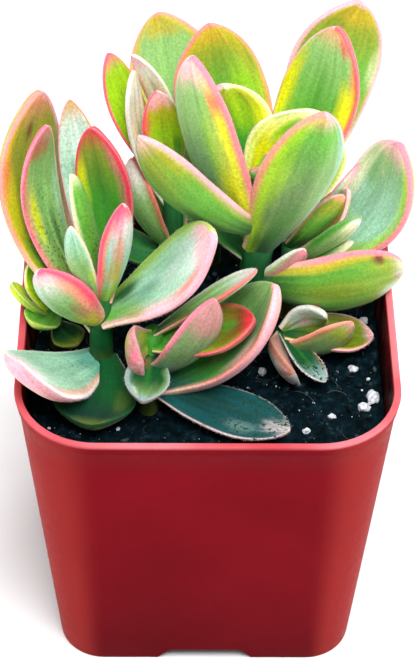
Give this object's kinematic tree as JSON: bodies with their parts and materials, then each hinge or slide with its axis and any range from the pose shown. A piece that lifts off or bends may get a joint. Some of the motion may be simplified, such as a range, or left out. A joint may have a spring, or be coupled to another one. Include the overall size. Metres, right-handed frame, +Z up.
{
  "type": "potted variegated jade plant",
  "caption": "Variegated jade plant with thick fuzzy pink-edged leaves on short stems, standing in potting mix in a small square nursery pot with drain holes.",
  "frame": {"origin": "centre of the pot's underside, on the surface that the pot stands on", "axes": "+Z up, along the pot's height; -Y towards the side of the pot that the picture shows in front, +X to its right"},
  "size_m": [0.0706, 0.0674, 0.1093],
  "materials": {
    "pot_plastic": "satin",
    "potting_mix": "rough",
    "plant": "fuzzy"
  },
  "bodies": {
    "root": {"pot": "pot_plastic", "potting_mix": "potting_mix", "stem_left": "plant", "stem_left_bud": "plant", "stem_rear_left": "plant", "stem_centre": "plant", "stem_right_bud": "plant", "stem_rear_right": "plant", "stem_front": "plant", "stem_small_right": "plant", "stem_rear": "plant"}
  },
  "joints": []
}
